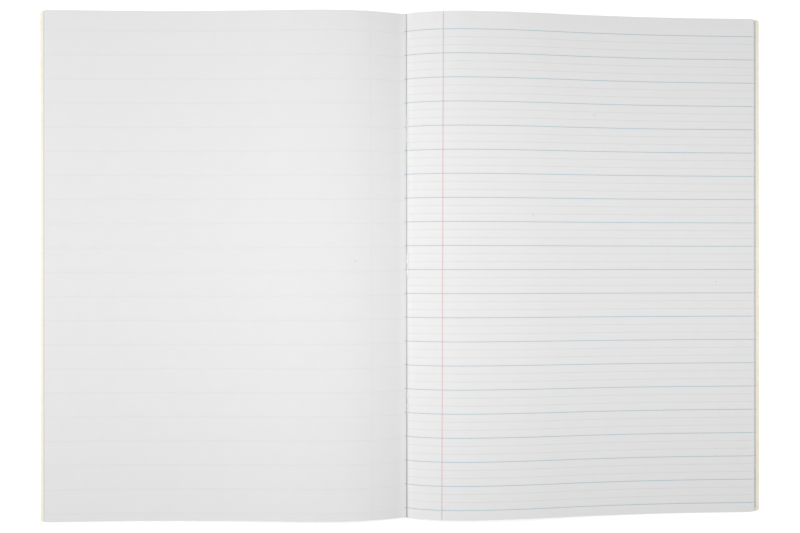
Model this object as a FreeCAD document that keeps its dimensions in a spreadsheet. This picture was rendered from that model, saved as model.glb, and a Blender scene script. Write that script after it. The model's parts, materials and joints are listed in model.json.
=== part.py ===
"""Stapled exercise book, lying open at its centre spread, as a parametric FreeCAD document.

Millimetres. The origin is on the table under the middle of the spine fold. +X runs across the
spread to the back cover's fore-edge, +Y along the fold to the head of the pages, +Z up.
Both halves of the book share one set of builders. Each half is drawn with +X pointing away from
the fold, and the front half is then turned half a turn about Z.
"""
import FreeCAD, Part
import math
import os
import Sketcher

from FreeCAD import Placement, Rotation, Vector

DIMENSIONS = {
    # the folded card cover
    "cover_width": (213.3, "fold to fore-edge, of each cover"),
    "book_height": (297, "head to tail, of the covers and the pages"),
    "card": (0.3, "thickness of the cover's card"),
    "fold_ramp": (16, "strip of cover beside the fold that rises off the table"),
    # the nested, folded sheets
    "stack": (1.7, "thickness of one side's leaves at the fore-edge"),
    "fold_height": (2.2, "height of the nested folds over the cover"),
    "edge_fan": (0.9, "how far the lowest leaf reaches out under the top leaf"),
    # the curve of the front half's leaves, from the gutter to the fore-edge
    "front_spring_at": (5.7, "fold to the end of the sharp curve beside it"),
    "front_spring_rise": (1, "gutter to the end of that curve"),
    "front_crown_at": (38.6, "fold to the crown"),
    "front_crown_rise": (7, "gutter to the crown"),
    "front_turn_at": (73, "fold to where the slope turns hollow"),
    "front_flat": (28, "strip that lies flat at the fore-edge"),
    "front_recess": (2.5, "edge of the top leaf inside the cover's edge"),
    # the same for the back half's leaves, which spring up more sharply
    "back_spring_at": (4.3, "fold to the end of the sharp curve beside it"),
    "back_spring_rise": (3, "gutter to the end of that curve"),
    "back_crown_at": (34, "fold to the crown"),
    "back_crown_rise": (8.7, "gutter to the crown"),
    "back_turn_at": (85, "fold to where the slope turns hollow"),
    "back_flat": (27.5, "strip that lies flat at the fore-edge"),
    "back_recess": (3.9, "edge of the top leaf inside the cover's edge"),
    # the wire staples through the fold
    "wire": (0.5, "diameter of the staple wire"),
    "staple_span": (13.5, "leg to leg, along the fold"),
    "staple_pitch": (80, "from one staple to the next"),
    "staple_bend": (0.5, "radius of the wire's corners, at its centre line"),
    "clinch_reach": (5.2, "leg to the tip of its clinched end"),
    "wire_gap": (0.1, "clearance of the wire in its holes and under the card"),
    "clinch_gap": (0.3, "clinched ends over the bottom of the gutter"),
}
DERIVED = {
    "wire_radius": ("=wire / 2", "radius of the staple wire"),
    "fold_lift": ("=wire + wire_gap", "table to the card at the fold, which lies on the staples"),
    "fold_top": ("=fold_lift + card", "height of the card's inner face at the fold"),
    "gutter": ("=fold_top + fold_height", "height of the axis the book closes about"),
    "fore_edge_top": ("=card + stack", "height of the top leaf at the fore-edge"),
    "leg_at": ("=staple_span / 2", "middle of a staple to its leg"),
    "clinch_tip": ("=leg_at - clinch_reach", "middle of a staple to its clinched end"),
    "crown_level": ("=wire_radius", "height of the wire's centre line under the fold"),
    "clinch_level": ("=gutter + clinch_gap + wire_radius", "the same, in the gutter"),
    "slit": ("=wire_radius + wire_gap", "depth and half length of the slits for the legs"),
    "slit_start": ("=-staple_pitch - leg_at - slit", "tail end of the slit nearest the tail"),
    "slit_end": ("=slit_start + 2 * slit", "and its head end"),
}
LEAF_CURVE = {
    "spring_top": ("=gutter + {side}_spring_rise", "height where the sharp curve ends"),
    "crown_top": ("=gutter + {side}_crown_rise", "height of the crown"),
    "edge": ("=cover_width - {side}_recess", "fold to the top leaf's edge"),
    "foot": ("={side}_edge + edge_fan", "fold to the lowest leaf's edge"),
    "landing": ("={side}_edge - {side}_flat", "fold to where the leaves lie flat"),
    "fall": ("={side}_crown_top - fore_edge_top", "crown to the flat strip, in height"),
    "turn_share": (
        "=({side}_turn_at - {side}_crown_at) / ({side}_landing - {side}_crown_at)",
        "share of the fall before it turns hollow",
    ),
    "turn_top": ("={side}_crown_top - {side}_fall * {side}_turn_share", "height of that place"),
}
HALF_TURN = Rotation(Vector(0, 0, 1), 180)
SIDES = {"front": HALF_TURN, "back": Rotation()}
STAPLES = {"head_staple": 1, "middle_staple": 0, "tail_staple": -1}
ACROSS_AXIS, UP_AXIS = -1, -2
ORIGIN = (ACROSS_AXIS, 1)
START, END, CENTRE = 1, 2, 3


def new_sheet(doc):
    """The table of sizes: a name, a value and a note in each row."""
    rows = {**DIMENSIONS, **DERIVED}
    for side in SIDES:
        for name, (formula, note) in LEAF_CURVE.items():
            rows[f"{side}_{name}"] = (formula.format(side=side), note)
    sheet = doc.addObject("Spreadsheet::Sheet", "sizes")
    for row, (name, (value, note)) in enumerate(rows.items(), start=1):
        sheet.set(f"A{row}", name)
        sheet.set(f"B{row}", str(value))
        sheet.set(f"C{row}", note)
        sheet.setAlias(f"B{row}", name)
    doc.recompute()


def new_body(doc, label, turn=Rotation()):
    body = doc.addObject("PartDesign::Body", label)
    body.Label = label
    body.Placement = Placement(Vector(), turn)
    return body


def origin_feature(body, role):
    return next(f for f in body.Origin.OriginFeatures if f.Role == role)


class Drawing:
    """A sketch on one of a body's origin planes, dimensioned from the table of sizes.

    A place on the plane is two names from the table, across and up, where None stands for zero.
    A point of the sketch is a curve's number with START, END or CENTRE.
    """

    def __init__(self, body, name, role):
        self.sketch = body.newObject("Sketcher::SketchObject", name)
        self.sketch.AttachmentSupport = [(origin_feature(body, role), "")]
        self.sketch.MapMode = "FlatFace"
        self.sheet = body.Document.sizes

    def at(self, place):
        """The place as its sizes have it now."""
        across, up = (0 if name is None else getattr(self.sheet, name) for name in place)
        return Vector(across, up, 0)

    def line(self, start, end):
        return self.sketch.addGeometry(Part.LineSegment(start, end))

    def circle(self, centre, radius):
        """A circle about a point, with a radius named in the table."""
        now = getattr(self.sheet, radius)
        index = self.sketch.addGeometry(Part.Circle(centre, Vector(0, 0, 1), now))
        self.size(f"sizes.{radius}", "Radius", index, now)
        return index

    def bend(self, centre, radius, first, last):
        """An arc about a point from one angle to another, anticlockwise, in radians."""
        circle = Part.Circle(centre, Vector(0, 0, 1), radius)
        return self.sketch.addGeometry(Part.ArcOfCircle(circle, first, last))

    def arc(self, start, end, joint, aside):
        """An arc from start to end, whose centre lies on the line aside through its joint, which
        is one of them. The result is its number, then where it starts and ends.
        """
        chord = start + end - 2 * joint
        centre = joint + aside * chord.dot(chord) / (2 * chord.dot(aside))
        angles = [math.atan2(p.y - centre.y, p.x - centre.x) for p in (start, end)]
        positions = (START, END)
        if chord.dot(aside) > 0:
            angles.reverse()
            positions = (END, START)
        if angles[1] < angles[0]:
            angles[1] += 2 * math.pi
        return self.bend(centre, (start - centre).Length, *angles), *positions

    def two_arcs(self, start, middle, end):
        """Two arcs that meet smoothly at the middle place. The second is level at its end."""
        first, joint, last = (self.at(place) for place in (start, middle, end))
        slope = 2 * math.atan2(last.y - joint.y, last.x - joint.x)
        aside = Vector(math.sin(slope), -math.cos(slope), 0)
        before = self.arc(first, joint, joint, aside)
        after = self.arc(joint, last, joint, aside)
        self.place(before[:2], start)
        self.place((before[0], before[2]), middle)
        self.fix("Tangent", before[0], before[2], *after[:2])
        self.size(f"sizes.{end[0]}", "DistanceX", *ORIGIN, after[0], CENTRE, last.x)
        return before[:2], (after[0], after[2])

    def outline(self, runs):
        """A closed outline. Each run is a list of its places, up to where the next run starts:
        one place makes a line, and two make a pair of arcs.
        """
        ends = []
        for run, following in zip(runs, runs[1:] + runs[:1]):
            if len(run) == 1:
                line = self.line(self.at(run[0]), self.at(following[0]))
                self.place((line, START), run[0])
                ends.append(((line, START), (line, END)))
            else:
                ends.append(self.two_arcs(*run, following[0]))
        for (_, last), (first, _) in zip(ends, ends[1:] + ends[:1]):
            self.fix("Coincident", *last, *first)

    def fix(self, *rule):
        return self.sketch.addConstraint(Sketcher.Constraint(*rule))

    def size(self, formula, *rule):
        """A dimension, drawn at about its value and then held at a formula of the table's sizes."""
        self.sketch.setExpression(f"Constraints[{self.fix(*rule)}]", formula)

    def place(self, point, place):
        """Holds a point at its place."""
        for name, axis, kind in zip(place, (UP_AXIS, ACROSS_AXIS), ("DistanceX", "DistanceY")):
            if name is None:
                self.fix("PointOnObject", *point, axis)
            else:
                self.size(f"sizes.{name}", kind, *ORIGIN, *point, getattr(self.sheet, name))


def pad_along_fold(body, drawing):
    """The drawn section made as long as the book is high, half of it on each side of y = 0."""
    pad = body.newObject("PartDesign::Pad", f"{body.Label}_pad")
    pad.Profile = drawing.sketch
    pad.SideType = "Symmetric"
    pad.setExpression("Length", "sizes.book_height")


def pierce_for_legs(body):
    """Slits in the face at the fold, where the staples' legs pass: one slit, patterned from leg
    to leg and from staple to staple.
    """
    drawing = Drawing(body, f"{body.Label}_slit", "XY_Plane")
    drawing.outline([
        [(None, "slit_start")],
        [("slit", "slit_start")],
        [("slit", "slit_end")],
        [(None, "slit_end")],
    ])
    pocket = body.newObject("PartDesign::Pocket", f"{body.Label}_pierced")
    pocket.Profile = drawing.sketch
    pocket.Type = "ThroughAll"
    pocket.SideType = "Symmetric"
    slits = body.newObject("PartDesign::MultiTransform", f"{body.Label}_slits")
    slits.Originals = [pocket]
    patterns = []
    for name, count, length in (
        ("legs", 2, "sizes.staple_span"),
        ("staples", len(STAPLES), f"{len(STAPLES) - 1} * sizes.staple_pitch"),
    ):
        pattern = body.newObject("PartDesign::LinearPattern", f"{body.Label}_{name}")
        pattern.Direction = (origin_feature(body, "Y_Axis"), [""])
        pattern.Occurrences = count
        pattern.setExpression("Length", length)
        patterns.append(pattern)
    slits.Transformations = patterns
    body.Tip = slits


def build_cover(doc, label, turn):
    """One side of the folded card: flat on the table, with a strip that rises to the fold."""
    body = new_body(doc, label, turn)
    section = Drawing(body, f"{label}_section", "XZ_Plane")
    section.outline([
        [(None, "fold_lift")],
        [("fold_ramp", None)],
        [("cover_width", None)],
        [("cover_width", "card")],
        [("fold_ramp", "card")],
        [(None, "fold_top")],
    ])
    pad_along_fold(body, section)
    pierce_for_legs(body)


def build_pages(doc, label, side, turn):
    """One side of the nested sheets, as one solid. It lies on its cover, springs up from the
    gutter to a crown and comes down in a long slope, to lie flat at the fore-edge.
    """
    body = new_body(doc, label, turn)
    section = Drawing(body, f"{label}_section", "XZ_Plane")
    section.outline([
        [(None, "gutter"), (f"{side}_spring_at", f"{side}_spring_top")],
        [(f"{side}_crown_at", f"{side}_crown_top"), (f"{side}_turn_at", f"{side}_turn_top")],
        [(f"{side}_landing", "fore_edge_top")],
        [(f"{side}_edge", "fore_edge_top")],
        [(f"{side}_foot", "card")],
        [("fold_ramp", "card")],
        [(None, "fold_top")],
    ])
    pad_along_fold(body, section)
    pierce_for_legs(body)


def build_staple(doc, label, count):
    """A wire staple: its crown lies under the fold, its legs come up through the card and the
    sheets, and their ends are clinched towards each other in the gutter.
    """
    sheet = doc.sizes
    body = new_body(doc, label)
    body.setExpression("Placement.Base.y", f"{count} * sizes.staple_pitch")
    leg, bend, tip = sheet.leg_at, sheet.staple_bend, sheet.clinch_tip
    low, high = sheet.crown_level, sheet.clinch_level

    route = Drawing(body, f"{label}_route", "YZ_Plane")
    crown = route.line(Vector(0, low, 0), Vector(leg - bend, low, 0))
    lower_bend = route.bend(Vector(leg - bend, low + bend, 0), bend, -math.pi / 2, 0)
    shank = route.line(Vector(leg, low + bend, 0), Vector(leg, high - bend, 0))
    upper_bend = route.bend(Vector(leg - bend, high - bend, 0), bend, 0, math.pi / 2)
    clinch = route.line(Vector(leg - bend, high, 0), Vector(tip, high, 0))
    run = [crown, lower_bend, shank, upper_bend, clinch]
    for before, after in zip(run, run[1:]):
        route.fix("Tangent", before, END, after, START)
    route.fix("Horizontal", crown)
    route.fix("Vertical", shank)
    route.fix("Horizontal", clinch)
    route.fix("Equal", lower_bend, upper_bend)
    route.size("sizes.staple_bend", "Radius", lower_bend, bend)
    route.size("sizes.leg_at", "DistanceX", *ORIGIN, shank, START, leg)
    route.place((crown, START), (None, "crown_level"))
    route.place((clinch, END), ("clinch_tip", "clinch_level"))

    wire = Drawing(body, f"{label}_wire", "XZ_Plane")
    section = wire.circle(Vector(0, low, 0), "wire_radius")
    wire.place((section, CENTRE), (None, "crown_level"))

    half = body.newObject("PartDesign::AdditivePipe", f"{label}_half")
    half.Profile = wire.sketch
    half.Spine = route.sketch
    whole = body.newObject("PartDesign::Mirrored", f"{label}_whole")
    whole.Originals = [half]
    whole.MirrorPlane = wire.sketch.AttachmentSupport[0]
    body.Tip = whole


def faults(doc):
    """What is wrong in the recomputed document, in words."""
    for item in doc.Objects:
        if {"Invalid", "Error"} & set(item.State):
            yield f"{item.Label} has failed: {item.State}"
    for body in doc.findObjects("PartDesign::Body"):
        shape = body.Shape
        if shape.isNull() or not shape.isValid() or len(shape.Solids) != 1:
            yield f"{body.Label} is not one valid solid"
        elif any(f.AddSubShape.isNull() for f in body.Group if hasattr(f, "AddSubShape")):
            yield f"a feature of {body.Label} adds or cuts nothing"
    for kind in ("PartDesign::Pocket", "PartDesign::MultiTransform"):
        for cut in doc.findObjects(kind):
            if not cut.Shape.Volume < cut.BaseFeature.Shape.Volume:
                yield f"{cut.Label} cuts nothing"


def main():
    doc = FreeCAD.newDocument("exercise_book")
    new_sheet(doc)
    for side, turn in SIDES.items():
        build_cover(doc, f"{side}_cover", turn)
        build_pages(doc, f"{side}_pages", side, turn)
    for label, count in STAPLES.items():
        build_staple(doc, label, count)
    doc.recompute()

    found = list(faults(doc))
    if found:
        raise RuntimeError("; ".join(found))
    os.makedirs("parts", exist_ok=True)
    for body in doc.findObjects("PartDesign::Body"):
        body.Shape.exportStep(f"parts/{body.Label}.step")
        box = body.Shape.BoundBox
        print(
            f"{body.Label}: {body.Shape.Volume:.1f} mm3, x {box.XMin:.2f} {box.XMax:.2f}, "
            f"y {box.YMin:.2f} {box.YMax:.2f}, z {box.ZMin:.2f} {box.ZMax:.2f}"
        )


main()
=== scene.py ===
"""The looks of a stapled exercise book that lies open at its centre spread: its leaves, its
folded card cover, their papers and printed ruling, its staples' wire, and the floor, lamps and
camera.

Lengths are in millimetres up to the mesh, which is in metres. A page point is (along, up):
along the leaf from the fold, and up the page from its middle. Every sheet's trimmed edge has the
same measure along, that of the back's top leaf.
"""

import json
import math

import bpy
import numpy as np
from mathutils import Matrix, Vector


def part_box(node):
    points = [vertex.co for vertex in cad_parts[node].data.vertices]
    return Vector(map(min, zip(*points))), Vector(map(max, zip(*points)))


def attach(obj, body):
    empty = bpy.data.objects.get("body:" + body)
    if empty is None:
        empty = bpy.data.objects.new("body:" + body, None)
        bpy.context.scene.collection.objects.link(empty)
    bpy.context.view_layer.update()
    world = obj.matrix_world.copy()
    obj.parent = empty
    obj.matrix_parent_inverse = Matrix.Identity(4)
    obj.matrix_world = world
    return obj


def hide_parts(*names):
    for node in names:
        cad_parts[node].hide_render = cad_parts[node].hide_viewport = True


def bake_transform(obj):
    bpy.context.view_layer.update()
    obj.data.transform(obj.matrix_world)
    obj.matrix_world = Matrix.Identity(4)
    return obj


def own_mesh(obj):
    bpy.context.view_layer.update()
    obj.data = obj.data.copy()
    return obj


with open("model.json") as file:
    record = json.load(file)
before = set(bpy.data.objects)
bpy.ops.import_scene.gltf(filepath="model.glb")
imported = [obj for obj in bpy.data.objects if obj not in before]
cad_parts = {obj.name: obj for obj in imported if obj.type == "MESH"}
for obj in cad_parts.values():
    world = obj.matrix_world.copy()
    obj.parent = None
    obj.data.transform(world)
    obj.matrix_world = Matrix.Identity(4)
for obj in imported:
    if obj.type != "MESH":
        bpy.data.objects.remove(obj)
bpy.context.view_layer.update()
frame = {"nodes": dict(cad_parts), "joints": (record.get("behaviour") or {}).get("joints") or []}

MM = 0.001
HINGE = next(joint for joint in frame["joints"] if joint["name"] == "cover_fold")
GUTTER = HINGE["pos_m"][2] / MM
COVER_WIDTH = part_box("back_cover")[1].x / MM
HALF_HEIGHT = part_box("back_cover")[1].y / MM
FOLD_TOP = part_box("back_cover")[1].z / MM

# the card: its thickness, how far out its rise to the fold starts, and the power that eases
# the rise at its foot
CARD = 0.3
FOLD_RAMP = 16
RAMP_EASE = 1.15

# the leaves of each side: how many, and how thick they are together and each
LEAVES = 16
STACK = 1.7
LEAF = STACK / LEAVES
FORE_EDGE_TOP = CARD + STACK

# out is the side's sign across the book. Its top leaf springs from the gutter, through a point
# so far out and so far over it, up to the crown, turns hollow further out, and lands on a flat
# strip. recess is how far that leaf's edge lies inside the cover's, and fan how much further
# out the inner sheets spread, down to the lowest. Corner radii are the tail's and the head's.
SIDES = {
    "front": {"out": -1, "spring": (5.7, 1.0), "crown_at": 38.6, "turn_at": 73, "flat": 28,
              "recess": 2.8, "fan": 1.3, "corners": (0.3, 0.7), "card_corners": (0.3, 0.7)},
    "back": {"out": 1, "spring": (4.3, 3.0), "crown_at": 34, "turn_at": 85, "flat": 27.5,
             "recess": 3.75, "fan": 1.8, "corners": (2.4, 0.9), "card_corners": (2.0, 0.9)},
}
for name, side in SIDES.items():
    side["crown_top"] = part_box(f"{name}_pages")[1].z / MM
    side["edge"] = COVER_WIDTH - side["recess"]

# the printed ruling. It is a little out of square with the fold: for each millimetre, the lines
# fall by LINE_LEAN on their way out, and the margin moves out by MARGIN_LEAN on its way up.
FIRST_LINE = HALF_HEIGHT - 10.5
LINE_PITCH = 14.03
LINE_GAPS = 20
DOT_PITCH = 0.8
MARGIN_AT = 22.3
LINE_LEAN = 0.0008
MARGIN_LEAN = 0.0038
# widths, and how far the edges spread, as printed and as they show through the paper
LINE, LINE_BEHIND = (0.42, 0.12), (0.6, 0.5)
MARGIN, MARGIN_BEHIND = (0.6, 0.15), (0.8, 0.6)


# ---------------------------------------------------------------- shapes

def arc_pair(x, start, middle, end):
    """Heights of two arcs that meet smoothly at the middle point, the second level at its end.

    The slope at the middle has twice the angle of the chord to the end. Each arc's centre lies
    square to that slope, at half its chord squared over the chord's share in that direction.
    """
    slope = 2 * math.atan2(end[1] - middle[1], end[0] - middle[0])
    aside = np.array([math.sin(slope), -math.cos(slope)])
    heights = []
    for far in (start, end):
        chord = np.subtract(far, middle)
        radius = chord @ chord / (2 * chord @ aside)
        centre = middle + aside * radius
        drop = np.sqrt(np.maximum(radius**2 - (x - centre[0]) ** 2, 0))
        heights.append(centre[1] + math.copysign(1, radius) * drop)
    return np.where(x < middle[0], *heights)


def page_height(side, x):
    """Height of a side's top leaf at x from the fold: up from the gutter to the crown, down a
    slope that turns hollow on the straight line from the crown to the flat strip, then flat.
    """
    crown = (side["crown_at"], side["crown_top"])
    landing = (side["edge"] - side["flat"], FORE_EDGE_TOP)
    share = (side["turn_at"] - crown[0]) / (landing[0] - crown[0])
    turn = (side["turn_at"], crown[1] - share * (crown[1] - landing[1]))
    spring = (side["spring"][0], GUTTER + side["spring"][1])
    rise = arc_pair(x, (0, GUTTER), spring, crown)
    fall = arc_pair(x, crown, turn, landing)
    return np.where(x < crown[0], rise, np.where(x < landing[0], fall, FORE_EDGE_TOP))


def cover_height(x):
    """Height of the card's inner face at x: a ramp up to the fold, eased at its foot."""
    ramp = np.clip(1 - np.abs(x) / FOLD_RAMP, 0, 1)
    return CARD + (FOLD_TOP - CARD) * ramp ** RAMP_EASE


def crowded(t, power):
    """Shares of the way out from the fold for t from -1 to 1, closer together towards both its
    ends: t's size to a power, taken from 1, to the power 1.5, taken from 1, with t's sign.
    """
    return np.sign(t) * (1 - (1 - np.abs(t) ** power) ** 1.5)


def rows_up_page(count):
    """Heights up the page, from tail to head, closer together towards both ends: a sine."""
    return HALF_HEIGHT * np.sin(np.linspace(-np.pi / 2, np.pi / 2, count))


def round_corners(across, up, reach, corners):
    """Pulls a sheet's rows in near its fore-edge, so that its tail and head corners are worn
    round: past a corner's start, each row keeps its share of the quarter circle's height.
    """
    for end, radius in zip((-1, 1), corners):
        over = np.clip(across - (reach - radius), 0, radius)
        beyond = np.maximum(end * up - (HALF_HEIGHT - radius), 0)
        room = np.sqrt(radius**2 - over**2) / radius
        up = up - end * beyond * (1 - room)
    return up


def round_side_corners(across, up, reach, corners):
    """Rounds the corners of a sheet that lies on one or both sides, with each side's radii."""
    for side in SIDES.values():
        half = np.maximum(across * side["out"], 0)
        up = round_corners(half, up, reach, side[corners])
    return up


def grid_faces(rows, columns, flip):
    """Quads of a grid whose points run along its columns first."""
    j, i = np.mgrid[0:rows - 1, 0:columns - 1]
    corner = (j * columns + i).ravel()
    quads = np.stack([corner, corner + 1, corner + columns + 1, corner + columns], axis=1)
    return quads[:, ::-1] if flip else quads


def grid_rim(rows, columns):
    """The numbers of a grid's outer points, anticlockwise from its first point."""
    numbers = np.arange(rows * columns).reshape(rows, columns)
    return np.concatenate(
        [numbers[0, :-1], numbers[:-1, -1], numbers[-1, :0:-1], numbers[:0:-1, 0]]
    )


def sheet_solid(top, bottom):
    """A closed sheet: two grids of points of one shape, and a wall all round their rims. Returns
    its points, and its top, bottom and wall faces. A grid that runs leftwards is turned over,
    so that all faces point outwards.
    """
    rows, columns = top.shape[:2]
    count = rows * columns
    flip = top[0, -1, 0] < top[0, 0, 0]
    rim = grid_rim(rows, columns)
    after = np.roll(rim, -1)
    wall = np.stack([rim, rim + count, after + count, after], axis=1)
    faces = [
        grid_faces(rows, columns, flip),
        grid_faces(rows, columns, not flip) + count,
        wall[:, ::-1] if flip else wall,
    ]
    points = np.concatenate([top.reshape(-1, 3), bottom.reshape(-1, 3)])
    return points, faces


def make_object(name, points, faces, materials, places=None, kinds=None):
    """A mesh object from arrays, in metres. places are page points, kept as the map "page", and
    kinds are the faces' material numbers. Edges are sharp where faces meet at over 50 degrees.
    """
    mesh = bpy.data.meshes.new(name)
    mesh.from_pydata(points * MM, [], faces.tolist())
    for material in materials:
        mesh.materials.append(material)
    if kinds is not None:
        mesh.polygons.foreach_set("material_index", kinds.astype(np.int32))
    if places is not None:
        layer = mesh.uv_layers.new(name="page")
        corners = places[faces.ravel()] * MM
        layer.uv.foreach_set("vector", corners.astype(np.float32).ravel())
    mesh.polygons.foreach_set("use_smooth", np.ones(len(faces), bool))
    mesh.update()
    mesh.set_sharp_from_angle(angle=math.radians(50))
    piece = bpy.data.objects.new(name, mesh)
    bpy.context.scene.collection.objects.link(piece)
    return piece


# ---------------------------------------------------------------- sheets of paper

# share of the air under the top leaf that each leaf has under it, from the top leaf down: it
# falls a little faster than evenly, and by uneven steps
rank = np.arange(LEAVES)
AIR_SHARE = (1 - rank / (LEAVES - 0.35)) ** 1.2 + 0.012 * np.sin(2.1 * rank) * (rank > 0)
# how much further out the lowest leaf reaches, and how much less every third one does
LOOSE = 0.15
UNEVEN = 0.06
# the waves in the air between leaves: their lengths for one radian, and the share they take
LONG_WAVE, SHORT_WAVE = 31, 13.5
WAVE_SHARE = 0.012
CREASE_DEPTH, CREASE_WIDTH = 0.55, 0.32


def leaf_grid(side, number, columns, rows):
    """Top points of a leaf, by its number from the top, and how far along and up they lie.

    Its height is the card's, and a leaf's thickness for each leaf from the bottom, and its
    share of the air under the top leaf. The air is a few percent less along two slow waves up
    the page. The top leaf has a crease pressed into it at the fold, shaped like a bell curve.
    """
    reach = side["edge"] + LOOSE * number / (LEAVES - 1) - UNEVEN * (number % 3 == 1)
    x = reach * crowded(np.linspace(0, 1, columns), 1.8)
    across, up = np.meshgrid(x, rows_up_page(rows))
    up = round_corners(across, up, reach, side["corners"])
    layers = (LEAVES - number) * LEAF
    ground = cover_height(across)
    air = page_height(side, across) - ground - STACK
    lean = across / 60 + 2.1 * side["out"]
    waves = np.sin(up / LONG_WAVE + 0.8) + 0.6 * np.sin(up / SHORT_WAVE + lean)
    air = np.maximum(air, 0) * (1 - WAVE_SHARE * (1.6 + waves))
    height = ground + layers + air * AIR_SHARE[number]
    crease = CREASE_DEPTH * np.exp(-((across / CREASE_WIDTH) ** 2)) * (number == 0)
    height = height - crease
    along = np.concatenate([[0], np.cumsum(np.hypot(np.diff(x), np.diff(height[rows // 2])))])
    points = np.stack([side["out"] * across, up, height], axis=2)
    places = np.stack([np.broadcast_to(along, across.shape), up], axis=2)
    return points, places


# arc length of the back's top leaf from the fold to its trimmed edge, and how much less the
# front's is, which is where that leaf's fold lies when it is measured back from its edge
FULL_WIDTH = leaf_grid(SIDES["back"], 0, 400, 3)[1][0, -1, 0]
FRONT_FOLD = FULL_WIDTH - leaf_grid(SIDES["front"], 0, 400, 3)[1][0, -1, 0]

# the materials of a sheet's faces, by number in PAPERS
RULED, PLAIN, CUT_EDGE = range(3)


def make_sheets(name, sheets):
    """Closed sheets of paper as one piece. Each is its top, bottom and page points, and is ruled
    above on the back half and below on the front half. All have grids of one size.
    """
    points, faces, places, kinds = [], [], [], []
    for number, (top, bottom, where) in enumerate(sheets):
        solid, parts = sheet_solid(top, bottom)
        above, below, wall = (solid[part, 0].mean(axis=1) < 0 for part in parts)
        points.append(solid)
        faces += [part + number * len(solid) for part in parts]
        places.append(np.tile(where.reshape(-1, 2), (2, 1)))
        kinds += [
            np.where(above, PLAIN, RULED),
            np.where(below, RULED, PLAIN),
            np.full(len(wall), CUT_EDGE),
        ]
    points, faces, places, kinds = map(np.concatenate, (points, faces, places, kinds))
    return make_object(name, points, faces, PAPERS, places, kinds)


def make_leaves(name, side, numbers, columns, rows, flat_at):
    """Some of a side's leaves as one piece, each a little thinner than its share of the stack.

    flat_at is not used.
    """
    sheets = []
    for number in numbers:
        top, where = leaf_grid(side, number, columns, rows)
        # the ruling is printed to the trimmed edge, so it is measured back from there
        where = where + [FULL_WIDTH - where[rows // 2, -1, 0], 0]
        sheets.append((top, top - [0, 0, LEAF * 0.96], where))
    piece = make_sheets(name, sheets)
    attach(piece, "back_half" if side["out"] > 0 else "front_half")
    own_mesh(piece)
    return piece


# the pressed inner sheets of a half: how many, the room they leave under the top leaf and at
# the head and tail, and over the card, and the share of its height that each leaves empty
INNER_SHEETS = 12
CLEAR = 0.15
OVER_CARD = 0.02
EMPTY_SHARE = 0.15
# the slope that they are pressed under: how far it starts under the gutter's height, how much
# it climbs beside the fold, from where and over what width, and how much it falls all the way
# to the fore-edge
SLOPE_UNDER = 0.7
CLIMB, CLIMB_FROM, CLIMB_WIDTH = 0.4, 1, 11
SLOPE_FALL = 0.95


def make_inner_sheets(name, t, inset):
    """Pressed sheets under the loose leaves, along the span t of the open book, from -1 at the
    front half's fore-edge to 1 at the back half's.

    They share out the height from the card to a slope, or to just under the top leaf where that
    is lower. The slope climbs beside the fold, by a smooth step, and falls evenly towards the
    fore-edge. Each sheet leaves a little of its share empty. The lower ones reach further out.
    """
    edges, fans = [
        np.where(t < 0, SIDES["front"][size], SIDES["back"][size]) for size in ("edge", "fan")
    ]
    edges = edges - inset
    sheets = []
    for number in range(INNER_SHEETS):
        reach = edges + fans * (1 - (number + 1) / INNER_SHEETS)
        across, up = np.meshgrid(crowded(t, 3.2) * reach, rows_up_page(21))
        up = up * (1 - (CLEAR + inset) / HALF_HEIGHT)
        up = round_side_corners(across, up, reach, "corners")
        step = np.clip((np.abs(across) - CLIMB_FROM) / CLIMB_WIDTH, 0, 1)
        climb = CLIMB * step**2 * (3 - 2 * step)
        ceiling = GUTTER - SLOPE_UNDER + climb - SLOPE_FALL * np.abs(across) / edges
        for side in SIDES.values():
            half = np.maximum(across * side["out"], 0)
            ceiling = np.minimum(ceiling, page_height(side, half) - CLEAR)
        ground = cover_height(across) + OVER_CARD
        pitch = (ceiling - ground) / INNER_SHEETS
        top = np.stack([across, up, ground + pitch * (number + 1)], axis=2)
        bottom = np.stack([across, up, ground + pitch * (number + EMPTY_SHARE)], axis=2)
        along = FULL_WIDTH - (reach - np.abs(across))
        sheets.append((top, bottom, np.stack([along, up], axis=2)))
    piece = make_sheets(name, sheets)
    return piece


# ---------------------------------------------------------------- shader nodes

def linear(hex_colour):
    """A colour written as sRGB hex, as the linear RGBA that Blender works in."""
    parts = [int(hex_colour[i:i + 2], 16) / 255 for i in (1, 3, 5)]
    return (*(c / 12.92 if c <= 0.04045 else ((c + 0.055) / 1.055) ** 2.4 for c in parts), 1)


def add(tree, kind, *inputs, out=0, into=(), **settings):
    """Adds a shader node with its settings and links, and returns one of its outputs. inputs are
    for its first sockets in order, and into for sockets by name or number: each is a value, or
    an output of another node.
    """
    node = tree.nodes.new("ShaderNode" + kind)
    for name, value in settings.items():
        setattr(node, name, value)
    for socket, value in [*enumerate(inputs), *dict(into).items()]:
        if isinstance(value, bpy.types.NodeSocket):
            tree.links.new(value, node.inputs[socket])
        else:
            node.inputs[socket].default_value = value
    return node.outputs[out]


# a step without corners from one value to another, and a mix of the colours in sockets 6 and 7
SMOOTH = {"interpolation_type": "SMOOTHSTEP"}
COLOURS = {"data_type": "RGBA", "clamp_factor": True, "out": 2}


def new_material(name, **plain):
    """A material with its Principled shader's plain values."""
    material = bpy.data.materials.new(name)
    material.use_nodes = True
    shader = material.node_tree.nodes["Principled BSDF"]
    for socket, value in plain.items():
        shader.inputs[socket.replace("_", " ")].default_value = value
    return material, material.node_tree, shader


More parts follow.
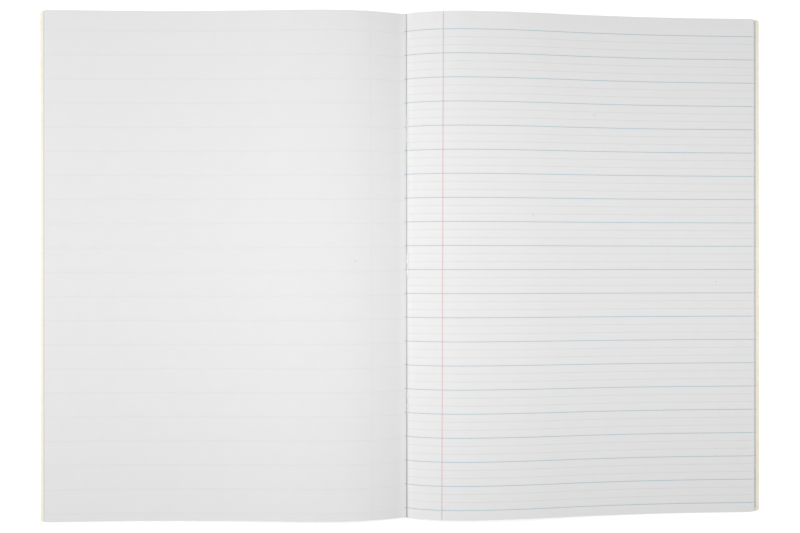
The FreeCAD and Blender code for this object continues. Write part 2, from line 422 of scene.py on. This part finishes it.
def finish_paper(tree, shader, colour, place, clouds):
    """Links a paper's colour, and the bump and uneven gloss of its felted fibres.

    Fibres are some 0.02 mm thick. They are drawn 0.5 mm wide, to show at all.
    """
    fibres = add(tree, "TexNoise", into={"Vector": place, "Scale": 1 / (0.5 * MM), "Detail": 3,
                                         "Roughness": 0.65})
    tooth = add(tree, "Bump", into={"Strength": 0.12, "Distance": 0.06 * MM, "Height": fibres})
    cockle = add(tree, "Bump", into={"Strength": 0.12, "Distance": 0.1 * MM, "Height": clouds,
                                     "Normal": tooth})
    gloss = add(tree, "MapRange", fibres, 0.3, 0.7, 0.78, 0.92, **SMOOTH)
    tree.links.new(colour, shader.inputs["Base Color"])
    tree.links.new(gloss, shader.inputs["Roughness"])
    tree.links.new(cockle, shader.inputs["Normal"])


def page_place(tree):
    """Page points as a vector and as (along, up), in metres."""
    place = add(tree, "UVMap", out="UV", uv_map="page")
    along = add(tree, "SeparateXYZ", place, out="X")
    return place, along, along.node.outputs["Y"]


def ruling(tree, along, up, width, soft):
    """How much ink there is at a page point: blue lines, and finer dotted ones at the thirds of
    each gap. The widths are in millimetres; soft is how far a line's edge spreads.
    """
    up = add(tree, "Math", along, LINE_LEAN, up, operation="MULTIPLY_ADD")
    down = add(tree, "Math", FIRST_LINE * MM, up, operation="SUBTRACT")
    count = add(tree, "Math", down, LINE_PITCH * MM, operation="DIVIDE")
    inside = add(tree, "Math", count, LINE_GAPS / 2, LINE_GAPS / 2 + 0.1, operation="COMPARE")

    # the blue lines, at whole counts
    away = add(tree, "Math", count, 0.5, operation="PINGPONG")
    half_width, half_soft = width / 2 / LINE_PITCH, soft / LINE_PITCH
    line = add(tree, "MapRange", away, half_width - half_soft, half_width + half_soft, 1, 0,
               **SMOOTH)

    # the fine lines, at the thirds between them, broken into soft dots
    thirds = add(tree, "Math", count, 3, operation="MULTIPLY")
    third = add(tree, "Math", thirds, 0.5, operation="PINGPONG")
    fine = add(tree, "MapRange", third, 0, 3 * (half_width + half_soft), 1, 0, **SMOOTH)
    between = add(tree, "Math", away, 4 * half_width, operation="GREATER_THAN")
    dot = add(tree, "Math", along, DOT_PITCH * MM, operation="DIVIDE")
    dot = add(tree, "Math", dot, 0.5, operation="PINGPONG")
    dot = add(tree, "MapRange", dot, 0.15, 0.35, 1, 0.1, **SMOOTH)
    fine = add(tree, "Math", fine, between, operation="MULTIPLY")
    fine = add(tree, "Math", fine, dot, operation="MULTIPLY")
    return (
        add(tree, "Math", line, inside, operation="MULTIPLY"),
        add(tree, "Math", fine, inside, operation="MULTIPLY"),
    )


def margin_line(tree, along, up, width, soft):
    """How much ink of the margin there is at a page point, with widths as in ruling."""
    along = add(tree, "Math", up, -MARGIN_LEAN, along, operation="MULTIPLY_ADD")
    away = add(tree, "Math", along, MARGIN_AT * MM, operation="SUBTRACT")
    away = add(tree, "Math", away, operation="ABSOLUTE")
    return add(tree, "MapRange", away, (width / 2 - soft) * MM, (width / 2 + soft) * MM, 1, 0,
               **SMOOTH)


def sheet_colour(tree, place, along, up, edge_shade, fold_at, shift):
    """Uncoated white paper: its even white, faint clouds where the pulp lies thicker, a few dark
    specks of bark, painted shade along the trimmed edge, as strong as a given share, and a dark
    line at the fold, which lies at fold_at: crushed fibres and painted crease shade. shift gives
    each face its own specks. Returns the colour and the clouds.
    """
    clouds = add(tree, "TexNoise", into={"Vector": place, "Scale": 1 / (9 * MM), "Detail": 3,
                                         "Roughness": 0.55})
    thicker = add(tree, "MapRange", clouds, 0.3, 0.7, 0, 1, **SMOOTH)
    colour = add(tree, "Mix", into={0: thicker, 6: linear("#EEEEEE"), 7: linear("#EDEDED")},
                 **COLOURS)

    # one cell in 18 of a 38 mm net has a speck, which fades out from 0.2 to 0.45 mm
    shifted = add(tree, "Mapping", place, into={"Location": (shift, 0, 0)})
    spot = add(tree, "TexVoronoi", into={"Vector": shifted, "Scale": 1 / (38 * MM)},
               out="Distance", voronoi_dimensions="2D")
    chance = add(tree, "SeparateColor", spot.node.outputs["Color"])
    chosen = add(tree, "Math", chance, 0.945, operation="GREATER_THAN")
    speck = add(tree, "MapRange", spot, 0.005, 0.012, 0.4, 0, **SMOOTH)
    speck = add(tree, "Math", speck, chosen, operation="MULTIPLY")
    colour = add(tree, "Mix", into={0: speck, 6: colour, 7: linear("#6E6659")}, **COLOURS)

    # painted shade over the last 0.3 mm to the trimmed edge, where the stack's stepped edges lie
    # in shade
    painted_edge_shade = add(tree, "MapRange", along, (FULL_WIDTH - 0.3) * MM, (FULL_WIDTH - 0.1) * MM, 0,
               edge_shade, **SMOOTH)
    colour = add(tree, "Mix", into={0: painted_edge_shade, 6: colour, 7: linear("#B7B5BB")}, **COLOURS)

    # a dark line at the fold: crushed fibres and painted crease shade, darker towards the tail
    fold = add(tree, "MapRange", along, (fold_at + 0.5) * MM, (fold_at + 1.05) * MM, 0.6, 0,
               **SMOOTH)
    darker_to_tail = add(tree, "MapRange", up, -150 * MM, -20 * MM, 1.5, 1, **SMOOTH)
    fold = add(tree, "Math", fold, darker_to_tail, operation="MULTIPLY")
    colour = add(tree, "Mix", into={0: fold, 6: colour, 7: linear("#77727C")}, **COLOURS)
    return colour, clouds


# ---------------------------------------------------------------- materials

INK_BLUE, INK_DOTS, INK_MARGIN = linear("#86A8BE"), linear("#AFA8AC"), linear("#D79A98")


# Offset paper, uncoated and calendered: white, matt, with no gleam but a faint one at a low
# angle. The ruling is thin printing ink, soaked in, so it shows the paper through it.
def make_ruled_paper():
    """The paper's printed face."""
    material, tree, shader = new_material("offset_paper_ruled", Specular_IOR_Level=0.25)
    place, along, up = page_place(tree)
    # this face has painted shade along its trimmed edge, at a share of 0.4
    colour, clouds = sheet_colour(tree, place, along, up, edge_shade=0.4, fold_at=0, shift=0)
    patches = add(tree, "TexNoise", into={"Vector": place, "Scale": 1 / (1.1 * MM),
                                          "Detail": 2})
    wear = add(tree, "MapRange", patches, 0.25, 0.75, 0.75, 1, **SMOOTH)
    # the ink is thinner in patches. The lines stop short of the trimmed edge, and their ink has
    # crept along the edge itself.
    short = add(tree, "Math", along, (FULL_WIDTH - 0.9) * MM, operation="LESS_THAN")
    crept = add(tree, "Math", along, (FULL_WIDTH - 0.12) * MM, operation="GREATER_THAN")
    printed = add(tree, "Math", short, crept, operation="ADD")
    printed = add(tree, "Math", printed, wear, operation="MULTIPLY")
    lines, thirds = ruling(tree, along, up, *LINE)
    inks = (
        (thirds, printed, 0.4, INK_DOTS),
        (margin_line(tree, along, up, *MARGIN), wear, 0.6, INK_MARGIN),
        (lines, printed, 0.66, INK_BLUE),
    )
    for pattern, worn, strength, ink in inks:
        amount = add(tree, "Math", pattern, strength, operation="MULTIPLY")
        amount = add(tree, "Math", amount, worn, operation="MULTIPLY")
        colour = add(tree, "Mix", into={0: amount, 6: colour, 7: ink}, **COLOURS)
    finish_paper(tree, shader, colour, place, clouds)
    return material


# The same paper's unprinted face. The ruling of the other face just shows through it, blurred
# by the pulp, and the right-hand page's lines run over the fold onto its first 1.7 mm.
def make_plain_paper():
    """The paper's plain face."""
    material, tree, shader = new_material("offset_paper_plain", Specular_IOR_Level=0.25)
    place, along, up = page_place(tree)
    # this face has weaker painted shade along its trimmed edge, at a share of 0.22
    colour, clouds = sheet_colour(tree, place, along, up, edge_shade=0.22, fold_at=FRONT_FOLD,
                                  shift=0.5)
    # the other face is printed 1.2 mm lower
    behind = add(tree, "Math", up, 1.2 * MM, operation="ADD")
    ghost = ruling(tree, along, behind, *LINE_BEHIND)[0]
    ghost_margin = margin_line(tree, along, up, *MARGIN_BEHIND)
    ghost_margin = add(tree, "Math", ghost_margin, 0.6, operation="MULTIPLY")
    ghost = add(tree, "Math", ghost, ghost_margin, operation="MAXIMUM")
    ghost = add(tree, "Math", ghost, 0.052, operation="MULTIPLY")
    colour = add(tree, "Mix", into={0: ghost, 6: colour, 7: linear("#8E8E96")}, **COLOURS)
    overrun = add(tree, "Math", along, (FRONT_FOLD + 1.7) * MM, operation="LESS_THAN")
    overrun = add(tree, "Math", overrun, 0.7, operation="MULTIPLY")
    overrun = add(tree, "Math", overrun, ruling(tree, along, up, *LINE)[0],
                  operation="MULTIPLY")
    colour = add(tree, "Mix", into={0: overrun, 6: colour, 7: INK_BLUE}, **COLOURS)
    finish_paper(tree, shader, colour, place, clouds)
    return material


# The same paper's cut edge. A guillotine leaves it white and a little rough, with the blade's
# fine marks across the stack, and the ruling's ink shows in it as faint dots, one above another.
def make_cut_paper():
    """The paper's cut edge."""
    material, tree, shader = new_material("offset_paper_cut_edge", Specular_IOR_Level=0.2)
    place, along, up = page_place(tree)
    marks = add(tree, "TexNoise", into={"Vector": place, "Scale": 1 / (0.7 * MM), "Detail": 4,
                                        "Roughness": 0.7})
    marked = add(tree, "MapRange", marks, 0.3, 0.75, 0, 1, **SMOOTH)
    colour = add(tree, "Mix", into={0: marked, 6: linear("#EDECEA"), 7: linear("#E0DFDC")},
                 **COLOURS)
    inks = (
        (ruling(tree, along, up, *LINE)[0], INK_BLUE),
        (margin_line(tree, along, up, *MARGIN), INK_MARGIN),
    )
    for pattern, ink in inks:
        amount = add(tree, "Math", pattern, 0.3, operation="MULTIPLY")
        colour = add(tree, "Mix", into={0: amount, 6: colour, 7: ink}, **COLOURS)
    rough = add(tree, "Bump", into={"Strength": 0.2, "Distance": 0.05 * MM, "Height": marks})
    gloss = add(tree, "MapRange", marks, 0.3, 0.7, 0.85, 0.97, **SMOOTH)
    tree.links.new(colour, shader.inputs["Base Color"])
    tree.links.new(gloss, shader.inputs["Roughness"])
    tree.links.new(rough, shader.inputs["Normal"])
    return material


# Manila card, uncoated and machine-finished: cream, a little mottled, with short darker fibres
# pressed into it and a slight even sheen. Its cut edges are greyed by painted shade, and its
# fold is rubbed pale, with fine cracks along it.
def make_card():
    """The cover's card, the same on both faces."""
    material, tree, shader = new_material("manila_card", Specular_IOR_Level=0.35)
    place = add(tree, "TexCoord", out="Object")
    across = add(tree, "Math", add(tree, "SeparateXYZ", place), operation="ABSOLUTE")
    mottle = add(tree, "TexNoise", into={"Vector": place, "Scale": 1 / (5 * MM), "Detail": 4,
                                         "Roughness": 0.6})
    patchy = add(tree, "MapRange", mottle, 0.3, 0.7, 0, 1, **SMOOTH)
    colour = add(tree, "Mix", into={0: patchy, 6: linear("#FFFAEA"), 7: linear("#FCF5DF")},
                 **COLOURS)
    lengthwise = add(tree, "Mapping", place, into={"Scale": (1, 0.22, 1)})
    fibres = add(tree, "TexNoise", into={"Vector": lengthwise, "Scale": 1 / (0.45 * MM),
                                         "Detail": 2, "Roughness": 0.6})
    fibres = add(tree, "MapRange", fibres, 0.62, 0.74, 0, 0.3, **SMOOTH)
    colour = add(tree, "Mix", into={0: fibres, 6: colour, 7: linear("#E6D7B3")}, **COLOURS)

    # painted shade: a patchy greyer rim over the last 0.5 mm to the card's cut edges
    painted_rim_shade = add(tree, "MapRange", across, (COVER_WIDTH - 0.5) * MM, COVER_WIDTH * MM, 0, 0.3,
                 **SMOOTH)
    painted_rim_shade = add(tree, "Math", painted_rim_shade, patchy, operation="MULTIPLY")
    colour = add(tree, "Mix", into={0: painted_rim_shade, 6: colour, 7: linear("#CFC3B0")}, **COLOURS)

    near_fold = add(tree, "MapRange", across, 0.8 * MM, 3.4 * MM, 1, 0, **SMOOTH)
    rubbed = add(tree, "Math", near_fold, patchy, operation="MULTIPLY")
    rubbed = add(tree, "Math", rubbed, 0.8, operation="MULTIPLY")
    colour = add(tree, "Mix", into={0: rubbed, 6: colour, 7: linear("#FFFBF2")}, **COLOURS)
    lengthwise = add(tree, "Mapping", place, into={"Scale": (1, 0.035, 1)})
    cracks = add(tree, "TexNoise", into={"Vector": lengthwise, "Scale": 1 / (0.3 * MM),
                                         "Detail": 3, "Roughness": 0.7})
    cracks = add(tree, "MapRange", cracks, 0.5, 0.66, 0, 0.35, **SMOOTH)
    cracks = add(tree, "Math", cracks, near_fold, operation="MULTIPLY")
    colour = add(tree, "Mix", into={0: cracks, 6: colour, 7: linear("#CDB98E")}, **COLOURS)
    finish_paper(tree, shader, colour, place, mottle)
    return material


# Galvanised steel wire, drawn and then coated with zinc: pale grey metal with fine draw lines
# along it and dull patches where the zinc has bloomed.
def make_wire():
    """The staples' wire."""
    material, tree, shader = new_material("galvanised_steel_wire", Metallic=1.0)
    place = add(tree, "TexCoord", out="Object")
    lengthwise = add(tree, "Mapping", place, into={"Scale": (1, 0.05, 1)})
    drawn = add(tree, "TexNoise", into={"Vector": lengthwise, "Scale": 1 / (0.06 * MM),
                                        "Detail": 2})
    bloom = add(tree, "TexNoise", into={"Vector": place, "Scale": 1 / (0.9 * MM), "Detail": 3})
    bloom = add(tree, "MapRange", bloom, 0.35, 0.7, 0, 1, **SMOOTH)
    colour = add(tree, "Mix", into={0: bloom, 6: linear("#E4E4E5"), 7: linear("#C8C9CB")},
                 **COLOURS)
    gloss = add(tree, "MapRange", drawn, 0.3, 0.7, 0.28, 0.46, **SMOOTH)
    grooves = add(tree, "Bump", into={"Strength": 0.3, "Distance": 0.02 * MM,
                                      "Height": drawn})
    tree.links.new(colour, shader.inputs["Base Color"])
    tree.links.new(gloss, shader.inputs["Roughness"])
    tree.links.new(grooves, shader.inputs["Normal"])
    return material


# White laminate, pressed smooth: an even, faintly clouded white with a soft gleam.
def make_table_top():
    """The floor's material. What the camera sees of it is lighter than it is lit, a little near
    the book, where it takes the book's shadow, and wholly where it runs off into the distance.
    """
    material, tree, shader = new_material("white_laminate", Roughness=0.6,
                                          Specular_IOR_Level=0.2)
    place = add(tree, "TexCoord", out="Object")
    cloud = add(tree, "TexNoise", into={"Vector": place, "Scale": 1 / (60 * MM)})
    colour = add(tree, "Mix", into={0: cloud, 6: linear("#F1F1F1"), 7: linear("#EEEEEE")},
                 **COLOURS)
    away = add(tree, "VectorMath", place, out="Value", operation="LENGTH")
    glow = add(tree, "MapRange", away, 350 * MM, 1300 * MM, 0.5, 1, **SMOOTH)
    seen = add(tree, "LightPath", out="Is Camera Ray")
    glow = add(tree, "Math", glow, seen, operation="MULTIPLY")
    shader.inputs["Emission Color"].default_value = (1, 1, 1, 1)
    tree.links.new(colour, shader.inputs["Base Color"])
    tree.links.new(glow, shader.inputs["Emission Strength"])
    return material


# ---------------------------------------------------------------- pieces

PAPERS = [make_ruled_paper(), make_plain_paper(), make_cut_paper()]
cover_card = make_card()
staple_wire = make_wire()

# the leaves of each piece, and heights for each piece in the closed book: at the fold, between
# the staples' wire and the inner sheets, and a little higher at the fore-edge
BUNDLES = [[0], [1, 2], [3, 4], [5, 6], [7, 8], [9, 10], [11, 12], [13, 14, 15]]
CLOSED_AT_FOLD = GUTTER - np.linspace(0.3, 0.6, len(BUNDLES))
CLOSED_AT_EDGE = GUTTER - np.linspace(0.09, 0.55, len(BUNDLES))
# columns and rows of the top leaf's grid, and of the others'
TOP_GRID, LOWER_GRID = (110, 61), (60, 25)
for side_name, side in SIDES.items():
    for place_down, numbers in enumerate(BUNDLES):
        name = f"{side_name}_leaves_{place_down + 1}"
        grid = TOP_GRID if place_down == 0 else LOWER_GRID
        flat_at = CLOSED_AT_FOLD[place_down], CLOSED_AT_EDGE[place_down]
        piece = make_leaves(name, side, numbers, *grid, flat_at)
        if place_down == 0:
            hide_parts(f"{side_name}_pages")

# the inner sheets that go over the fold
through_sheets = make_inner_sheets("inner_sheets", np.linspace(-1, 1, 121), 0)
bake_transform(through_sheets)

# more of them lie just inside those, and swing up about the fold as the book closes, so that
# its thickness is full of paper.
for side_name, side in SIDES.items():
    t = side["out"] * np.linspace(0.12, 1, 61)
    risers = make_inner_sheets(f"{side_name}_inner_sheets", np.sort(t), 0.12)
    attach(risers, f"{side_name}_half")
    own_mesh(risers)


def make_cover():
    """The folded card in one piece: its inner face is the ramp to the fold on both sides, and
    its outer face lies the card's thickness below.
    """
    x = COVER_WIDTH * crowded(np.linspace(-1, 1, 181), 2.2)
    across, up = np.meshgrid(x, rows_up_page(25))
    up = round_side_corners(across, up, COVER_WIDTH, "card_corners")
    inner = np.stack([across, up, cover_height(across)], axis=2)
    points, faces = sheet_solid(inner, inner - [0, 0, CARD])
    return make_object("folded_cover", points, np.concatenate(faces), [cover_card])


cover = make_cover()
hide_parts("front_cover", "back_cover")
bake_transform(cover)

for name in ("head_staple", "middle_staple", "tail_staple"):
    staple = frame["nodes"][name]
    staple.data.materials.clear()
    staple.data.materials.append(staple_wire)


# ---------------------------------------------------------------- floor, lamps, camera

def make_floor():
    """A table top 6 m square, 0.3 mm under the book."""
    x, y = np.meshgrid(np.linspace(-3000, 3000, 5), np.linspace(-3000, 3000, 5))
    points = np.stack([x, y, np.full_like(x, -0.3)], axis=2).reshape(-1, 3)
    floor = make_object("floor", points, grid_faces(5, 5, False), [make_table_top()])


def add_lamp(name, place, width, height, power):
    """A soft lamp that faces the book. Its place and size are in metres, its power in watts."""
    lamp = bpy.data.lights.new(name, "AREA")
    lamp.shape = "RECTANGLE"
    lamp.size = width
    lamp.size_y = height
    lamp.energy = power
    holder = bpy.data.objects.new(name, lamp)
    holder.location = place
    away = holder.location.normalized()
    holder.rotation_euler = away.to_track_quat("Z", "Y").to_euler()
    holder.visible_camera = False
    bpy.context.scene.collection.objects.link(holder)


make_floor()
add_lamp("overhead", (0.02, 0, 0.4), 0.2, 0.2, 0.64)
add_lamp("window", (-0.95, 0.35, 1.05), 1.0, 1.2, 8.35)
add_lamp("low_left", (-0.5, 0, 0.18), 0.3, 0.3, 0.46)
add_lamp("low_right", (0.5, 0, 0.2), 0.3, 0.3, 0.49)

# a dim white room, which is plain white where the camera or a reflection sees it
world = bpy.data.worlds.new("soft_room")
world.use_nodes = True
bpy.context.scene.world = world
tree = world.node_tree
seen = add(tree, "LightPath", out="Is Camera Ray")
mirrored = seen.node.outputs["Is Glossy Ray"]
bright = add(tree, "Math", seen, mirrored, operation="MAXIMUM")
strength = add(tree, "MapRange", bright, 0, 1, 0.25, 1)
tree.links.new(strength, tree.nodes["Background"].inputs["Strength"])
tree.nodes["Background"].inputs["Color"].default_value = (1, 1, 1, 1)

# half a metre over the book and a little left of its fold, turned back towards it
lens = bpy.data.cameras.new("camera")
lens.sensor_width = 36
lens.lens = 40.5
lens.clip_start = 0.01
lens.clip_end = 20
camera = bpy.data.objects.new("camera", lens)
camera.location = (-30.7 * MM, -0.6 * MM, 533 * MM)
camera.rotation_euler = [math.radians(a) for a in (0.017, -2.863, -0.047)]
bpy.context.scene.collection.objects.link(camera)
bpy.context.scene.camera = camera
bpy.context.scene.view_settings.view_transform = "Standard"
